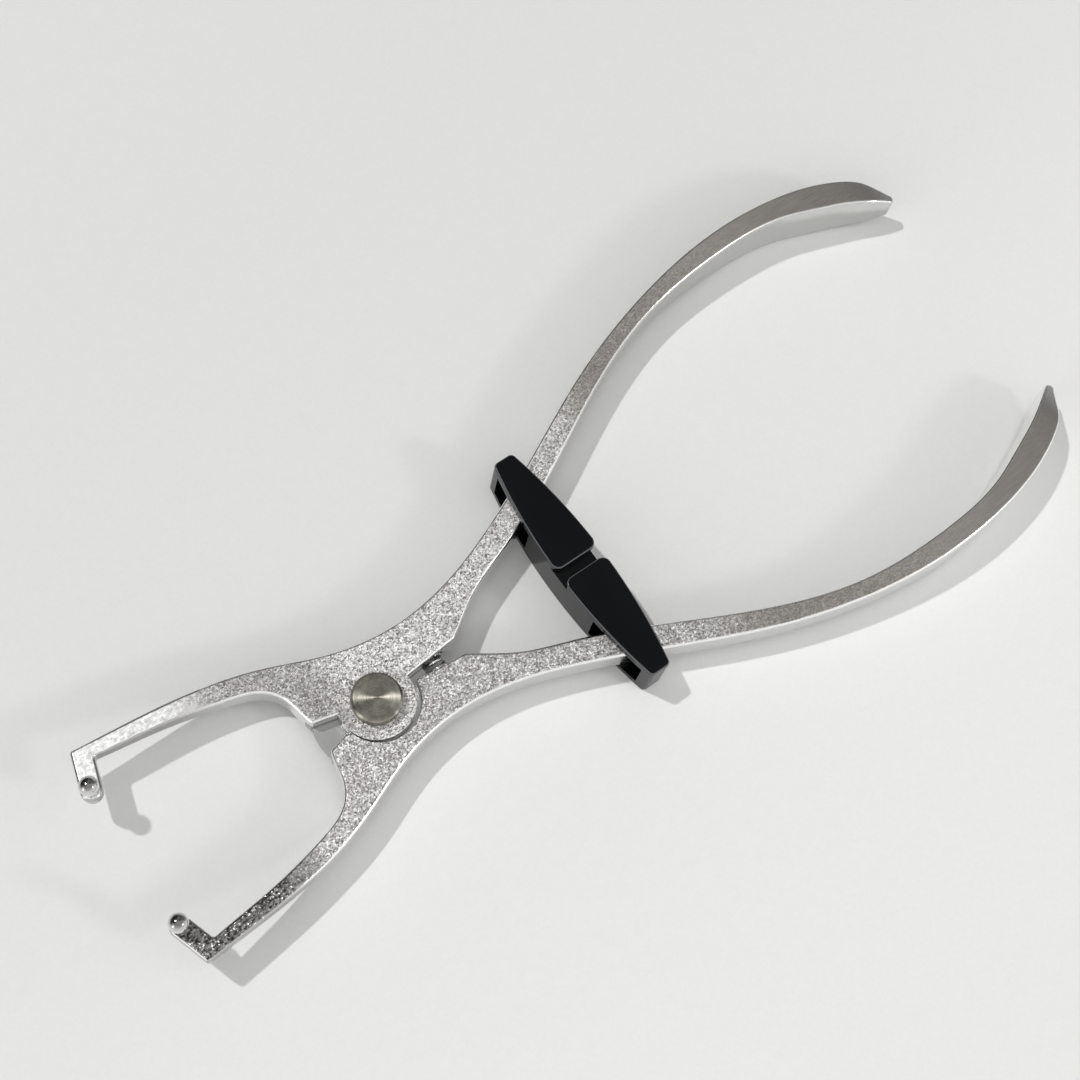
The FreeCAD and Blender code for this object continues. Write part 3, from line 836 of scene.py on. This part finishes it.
@dataclass
class Levers:
    """The two cast levers, with jaws, pins and handles; the lower lever is a shaded copy, its blasted body
    and jaw arm coloured darker as painted shade, its arm's dents finer and its facets tilted further, while
    the upper jaw arm is coloured near white as a painted reflection and the upper handle's sides darker as
    painted shade.
    """

    upper: CastSteel = CastSteel(
        "cast_steel_arm_painted_reflection",
        ball=(-41.80, 11.85, 12.00),
        darkening=0.5,
        # darker sides of the upper handle: painted shade of the shadowed table they reflect
        grip_side=(0.72, 0.72, 0.705),
    )
    lower: CastSteel = CastSteel(
        "cast_steel_painted_shade",
        ball=(-41.80, -11.85, 12.00),
        # darker pit colours and jaw arm than the upper lever's: painted shade
        pit_mid=(0.46, 0.447, 0.434),
        pit_light=(0.74, 0.727, 0.713),
        arm=(0.365, 0.358, 0.350),
        arm_dent=(0.045, 0.043, 0.040),
        arm_rough=0.30,
        arm_tilt=0.34,
        dent=Grain(0.42, (1.5, 1.0, 1.0), detail=3.0, roughness=0.6),
    )

    def build(self) -> None:
        """Finish both levers in cast steel."""
        dress(Node.UPPER_LEVER, self.upper.build())
        dress(Node.LOWER_LEVER, self.lower.build())


@dataclass
class Pivot:
    """The turned barrel with its round head, and the screw below."""

    steel: TurnedSteel = field(default_factory=TurnedSteel)

    def build(self) -> None:
        """Finish barrel and screw in turned steel."""
        material = self.steel.build()
        for node in (Node.PIVOT_BARREL, Node.PIVOT_SCREW):
            dress(node, material)


@dataclass
class CoilTree:
    """Geometry Nodes tree of a compression spring: a spiral whose end coils close on themselves."""

    name: str = "coil_tree"
    sizes: tuple[tuple[str, str, float | int], ...] = (
        ("Coil Radius", "NodeSocketFloat", 0.00145),
        ("Wire Radius", "NodeSocketFloat", 0.00022),
        ("Length", "NodeSocketFloat", 0.0072),
        ("Turns", "NodeSocketFloat", 8.0),
        ("Closed Share", "NodeSocketFloat", 0.1),
        ("Steps per Turn", "NodeSocketInt", 48),
        ("Wire Sides", "NodeSocketInt", 14),
    )

    def spiral(self, tree: Tree, given: bpy.types.NodeOutputs) -> Socket:
        """Wind a flat spiral of one radius.

        Args:
            tree: the tree to build in.
            given: the tree's named inputs.

        Returns:
            The spiral.
        """
        made = tree.add("GeometryNodeCurveSpiral")
        made.inputs["Height"].default_value = 0.0
        tree.link(given["Steps per Turn"], made.inputs["Resolution"])
        tree.link(given["Turns"], made.inputs["Rotations"])
        for end in ("Start Radius", "End Radius"):
            tree.link(given["Coil Radius"], made.inputs[end])
        return made.outputs["Curve"]

    def raised(self, tree: Tree, given: bpy.types.NodeOutputs, curve: Socket) -> Socket:
        """Draw the spiral out to its length, with the end coils left closed.

        Args:
            tree: the tree to build in.
            given: the tree's named inputs.
            curve: the flat spiral.

        Returns:
            The spring's middle line.
        """
        along = tree.add("GeometryNodeSplineParameter").outputs["Factor"]
        closed_from = tree.maths("SUBTRACT", 1.0, given["Closed Share"])
        top = tree.maths("SUBTRACT", given["Length"], given["Wire Radius"])
        height = tree.ranged(along, (given["Closed Share"], closed_from), (given["Wire Radius"], top),
                             Fade.STRAIGHT)
        rise = tree.add("ShaderNodeCombineXYZ")
        tree.link(height, rise.inputs["Z"])
        made = tree.add("GeometryNodeSetPosition")
        tree.link(curve, made.inputs["Geometry"])
        tree.link(rise.outputs["Vector"], made.inputs["Offset"])
        return made.outputs["Geometry"]

    def wired(self, tree: Tree, given: bpy.types.NodeOutputs, curve: Socket) -> Socket:
        """Sweep the round wire along the middle line.

        Args:
            tree: the tree to build in.
            given: the tree's named inputs.
            curve: the spring's middle line.

        Returns:
            The smooth wire.
        """
        profile = tree.add("GeometryNodeCurvePrimitiveCircle")
        tree.link(given["Wire Radius"], profile.inputs["Radius"])
        tree.link(given["Wire Sides"], profile.inputs["Resolution"])
        drawn = tree.add("GeometryNodeCurveToMesh")
        drawn.inputs["Fill Caps"].default_value = True
        tree.link(curve, drawn.inputs["Curve"])
        tree.link(profile.outputs["Curve"], drawn.inputs["Profile Curve"])
        smooth = tree.add("GeometryNodeSetShadeSmooth")
        tree.link(drawn.outputs["Mesh"], smooth.inputs["Geometry"])
        return smooth.outputs["Geometry"]

    def build(self) -> bpy.types.NodeTree:
        """Build the tree.

        Returns:
            The tree, with one named input for each size and one for the material.
        """
        group = bpy.data.node_groups.new(self.name, "GeometryNodeTree")
        for label, kind, value in self.sizes:
            group.interface.new_socket(label, in_out="INPUT", socket_type=kind).default_value = value
        group.interface.new_socket("Wire", in_out="INPUT", socket_type="NodeSocketMaterial")
        group.interface.new_socket("Geometry", in_out="OUTPUT", socket_type="NodeSocketGeometry")
        tree = Tree(group)
        given = tree.add("NodeGroupInput").outputs
        line = self.raised(tree, given, self.spiral(tree, given))
        real = tree.add("GeometryNodeRealizeInstances")
        tree.link(self.wired(tree, given, line), real.inputs["Geometry"])
        finish = tree.add("GeometryNodeSetMaterial")
        tree.link(real.outputs["Geometry"], finish.inputs["Geometry"])
        tree.link(given["Wire"], finish.inputs["Material"])
        tree.link(finish.outputs["Geometry"], tree.add("NodeGroupOutput").inputs["Geometry"])
        return group


@dataclass
class ReturnSpring:
    """The compression spring in the gap behind the pivot, with closed end coils."""

    wire: DrawnWire = field(default_factory=DrawnWire)
    tree: CoilTree = field(default_factory=CoilTree)
    wire_radius: float = 0.22
    turns: float = 8.0
    spare: float = 0.02

    def coil(self, radius: float, length: float, material: bpy.types.Material) -> bpy.types.Mesh:
        """Make the spring's mesh, which stands on the origin along Z.

        Args:
            radius: the coils' radius in metres, to the middle of the wire.
            length: the spring's length in metres.
            material: the wire's finish.

        Returns:
            The mesh.
        """
        holder = bpy.data.objects.new("coil_holder", bpy.data.meshes.new("coil_holder"))
        bpy.context.scene.collection.objects.link(holder)
        modifier = holder.modifiers.new("coil", "NODES")
        modifier.node_group = self.tree.build()
        values = {"Coil Radius": radius, "Wire Radius": self.wire_radius * MM, "Length": length,
                  "Turns": self.turns, "Wire": material}
        for item in modifier.node_group.interface.items_tree:
            if item.item_type == "SOCKET" and item.in_out == "INPUT" and item.name in values:
                modifier[item.identifier] = values[item.name]
        graph = bpy.context.evaluated_depsgraph_get()
        mesh = bpy.data.meshes.new_from_object(holder.evaluated_get(graph))
        bpy.data.objects.remove(holder)
        if not mesh.materials:
            mesh.materials.append(material)
        mesh.name = "return_spring"
        return mesh

    def build(self) -> None:
        """Coil the wire in the CAD spring's place, its axis across the pliers."""
        low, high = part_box(Node.SPRING.value)
        radius = (high.x - low.x) / 2 - (self.wire_radius + self.spare) * MM
        length = high.y - low.y - 2 * self.spare * MM
        mesh = self.coil(radius, length, self.wire.build())
        start = Vector(((low.x + high.x) / 2, (low.y + high.y) / 2 - length / 2, (low.z + high.z) / 2))
        mesh.transform(Matrix.Translation(start) @ Matrix.Rotation(math.radians(-90), 4, "X"))
        coil = bpy.data.objects.new("return_spring", mesh)
        bpy.context.scene.collection.objects.link(coil)
        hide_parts(Node.SPRING.value)
        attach(coil, Body.PIVOT.value)
        LOG.info("spring of %d faces", len(mesh.polygons))


@dataclass
class LockSlider:
    """The black slider that rides on both handles."""

    plastic: MouldedPlastic = field(default_factory=MouldedPlastic)

    def build(self) -> None:
        """Finish the slider in moulded plastic."""
        dress(Node.SLIDER, self.plastic.build())


@dataclass(frozen=True)
class RoundLamp:
    """A round area lamp that faces the pliers; lengths are in millimetres and the power is in watts."""

    name: str
    origin: Point
    width: float
    power: float
    distance: float = 2500.0
    aim: Point = (40.0, 0.0, 0.0)

    def build(self) -> None:
        """Hang the lamp."""
        data = bpy.data.lights.new(self.name, "AREA")
        data.shape = "DISK"
        data.size = self.width * MM
        data.energy = self.power
        lamp = bpy.data.objects.new(self.name, data)
        way = Vector(self.origin).normalized()
        lamp.location = metres(self.aim) + way * self.distance * MM
        lamp.rotation_euler = way.to_track_quat("Z", "Y").to_euler()
        bpy.context.scene.collection.objects.link(lamp)


@dataclass(frozen=True)
class SoftSky:
    """A soft sky: dark behind the pliers and beyond the handles, bright before the jaws."""

    name: str = "soft_sky"
    low: float = 1.10
    high: float = 0.73
    height_edges: Range = (0.15, 0.85)
    bright_towards: Point = (0.40, -0.917, 0.0)
    bright_edges: Range = (-0.75, 0.10)
    dark_side: float = 0.05
    shade_towards: Point = (0.474, 0.163, 0.866)
    shade_edges: Range = (0.955, 0.985)
    shade_left: float = 0.30
    far_towards: Point = (0.93, 0.26, 0.25)
    far_edges: Range = (0.74, 0.93)
    far_left: float = 0.25
    glow_towards: Point = (-0.94, 0.19, 0.26)
    glow_edges: Range = (0.86, 0.97)
    glow_gain: float = 5.0

    def build(self) -> None:
        """Light the scene from the sky."""
        world = bpy.data.worlds.new(self.name)
        bpy.context.scene.world = world
        world.use_nodes = True
        tree = Tree(world.node_tree)
        tree.tree.nodes.clear()
        way = tree.add("ShaderNodeTexCoord").outputs["Generated"]

        def part(towards: Point, edges: Range, gains: Range) -> Socket:
            """Return the sky's gain, which changes smoothly near a direction."""
            return tree.ranged(tree.towards(way, Vector(towards).normalized()), edges, gains, Fade.SMOOTH)

        height = tree.ranged(tree.towards(way, (0.0, 0.0, 1.0)), self.height_edges,
                             (self.low, self.high), Fade.STRAIGHT)
        side = part(self.bright_towards, self.bright_edges, (self.dark_side, 1.0))
        shade = part(self.shade_towards, self.shade_edges, (1.0, self.shade_left))
        far = part(self.far_towards, self.far_edges, (1.0, self.far_left))
        glow = part(self.glow_towards, self.glow_edges, (1.0, self.glow_gain))
        strength = tree.times(tree.times(tree.times(height, side), tree.times(shade, far)), glow)

        background = tree.add("ShaderNodeBackground")
        background.inputs["Color"].default_value = (1.0, 1.0, 1.0, 1.0)
        tree.link(strength, background.inputs["Strength"])
        output = tree.add("ShaderNodeOutputWorld")
        tree.link(background.outputs[0], output.inputs["Surface"])


@dataclass(frozen=True)
class PhotoCamera:
    """The camera at the photograph's viewing angle; its clip range is in metres."""

    place: Point = (-45.24, -54.10, 271.77)
    look: Point = (0.28621, 0.21567, -0.93358)
    picture_up: Point = (0.52313, 0.78114, 0.34083)
    lens: float = 60.0
    sensor: float = 36.0
    clip: Range = (0.01, 10.0)

    def build(self) -> None:
        """Place the camera."""
        data = bpy.data.cameras.new("camera")
        data.sensor_width = self.sensor
        data.lens = self.lens
        data.clip_start, data.clip_end = self.clip
        camera = bpy.data.objects.new("camera", data)
        look = Vector(self.look).normalized()
        right = look.cross(Vector(self.picture_up)).normalized()
        turn = Matrix((right, right.cross(look), -look)).transposed()
        camera.matrix_world = Matrix.Translation(metres(self.place)) @ turn.to_4x4()
        bpy.context.scene.collection.objects.link(camera)
        bpy.context.scene.camera = camera


@dataclass
class Studio:
    """The table, the lamps, the sky and the camera."""

    table: TableTop = field(default_factory=TableTop)
    table_half: float = 4000.0
    table_gap: float = 0.02
    lamps: tuple[RoundLamp, ...] = (
        RoundLamp("key_lamp", origin=(-0.263, 0.449, 0.854), width=95.0, power=26.5),
        RoundLamp("fill_lamp", origin=(0.46, -0.75, 0.48), width=360.0, power=9.0),
    )
    sky: SoftSky = field(default_factory=SoftSky)
    camera: PhotoCamera = field(default_factory=PhotoCamera)

    def build_table(self) -> None:
        """Lay the table just under the pliers' lowest point."""
        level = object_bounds()[0].z - self.table_gap * MM
        half = self.table_half * MM
        outline = [(-half, -half, level), (half, -half, level), (half, half, level), (-half, half, level)]
        mesh = bpy.data.meshes.new("table")
        mesh.from_pydata(outline, [], [(0, 1, 2, 3)])
        mesh.materials.append(self.table.build())
        table = bpy.data.objects.new("table", mesh)
        bpy.context.scene.collection.objects.link(table)
        table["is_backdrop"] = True
        LOG.info("table %.2f mm under the pliers", self.table_gap)

    def build(self) -> None:
        """Build the whole stage."""
        self.build_table()
        for lamp in self.lamps:
            lamp.build()
        self.sky.build()
        self.camera.build()


def main() -> None:
    """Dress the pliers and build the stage."""
    logging.basicConfig(level=logging.INFO, format="%(message)s")
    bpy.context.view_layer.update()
    bpy.context.scene.view_settings.view_transform = "Standard"
    for assembly in (Levers(), Pivot(), ReturnSpring(), LockSlider()):
        assembly.build()
    Studio().build()


if __name__ == "__main__":
    main()
